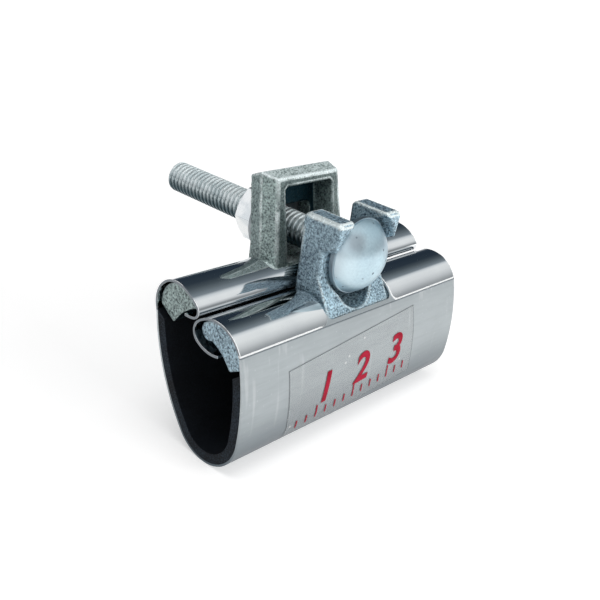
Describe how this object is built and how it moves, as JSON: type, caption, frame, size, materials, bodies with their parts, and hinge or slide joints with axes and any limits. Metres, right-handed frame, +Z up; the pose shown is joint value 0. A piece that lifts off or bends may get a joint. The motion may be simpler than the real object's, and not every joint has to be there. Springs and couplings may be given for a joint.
{
  "type": "wrap-around pipe repair clamp",
  "caption": "Stainless wrap with a rubber gasket, drawn shut round a pipe by a bolt between two hooked cast lugs.",
  "frame": {"origin": "on the axis of the wrap's round bottom, half-way along the wrap", "axes": "+X along the pipe, +Z up towards the bolt, -Y towards the fork lug and the bolt head"},
  "size_m": [0.0762, 0.0696, 0.0565],
  "materials": {
    "band": "matte rolled stainless, polished loops",
    "gasket": "matte",
    "label": "clear film",
    "fork_lug": "zinc plated, as cast",
    "tower_lug": "zinc plated, as cast",
    "bolt": "bright zinc plated",
    "washer": "bright zinc plated",
    "nut": "bright zinc plated"
  },
  "bodies": {
    "wrap": {"band": "band", "gasket": "gasket", "label": "label", "fork_lug": "fork_lug", "bolt": "bolt"},
    "tower": {"tower_lug": "tower_lug", "washer": "washer"},
    "nut": {"nut": "nut"}
  },
  "joints": [
    {"name": "lug_draw", "type": "slide", "parent": "wrap", "child": "tower", "axis": [0, 1, 0], "range_m": [-0.0004, 0.013], "deforming": ["band", "gasket"]},
    {"name": "nut_turn", "type": "hinge", "parent": "tower", "child": "nut", "pos_m": [0, 0.02587, 0.032], "axis": [0, 1, 0], "range_deg": [-102.1, 3316.6]}
  ],
  "couplings": [
    {"joint": "nut_turn", "follows": "lug_draw", "rad_per_m": 4452.7}
  ]
}
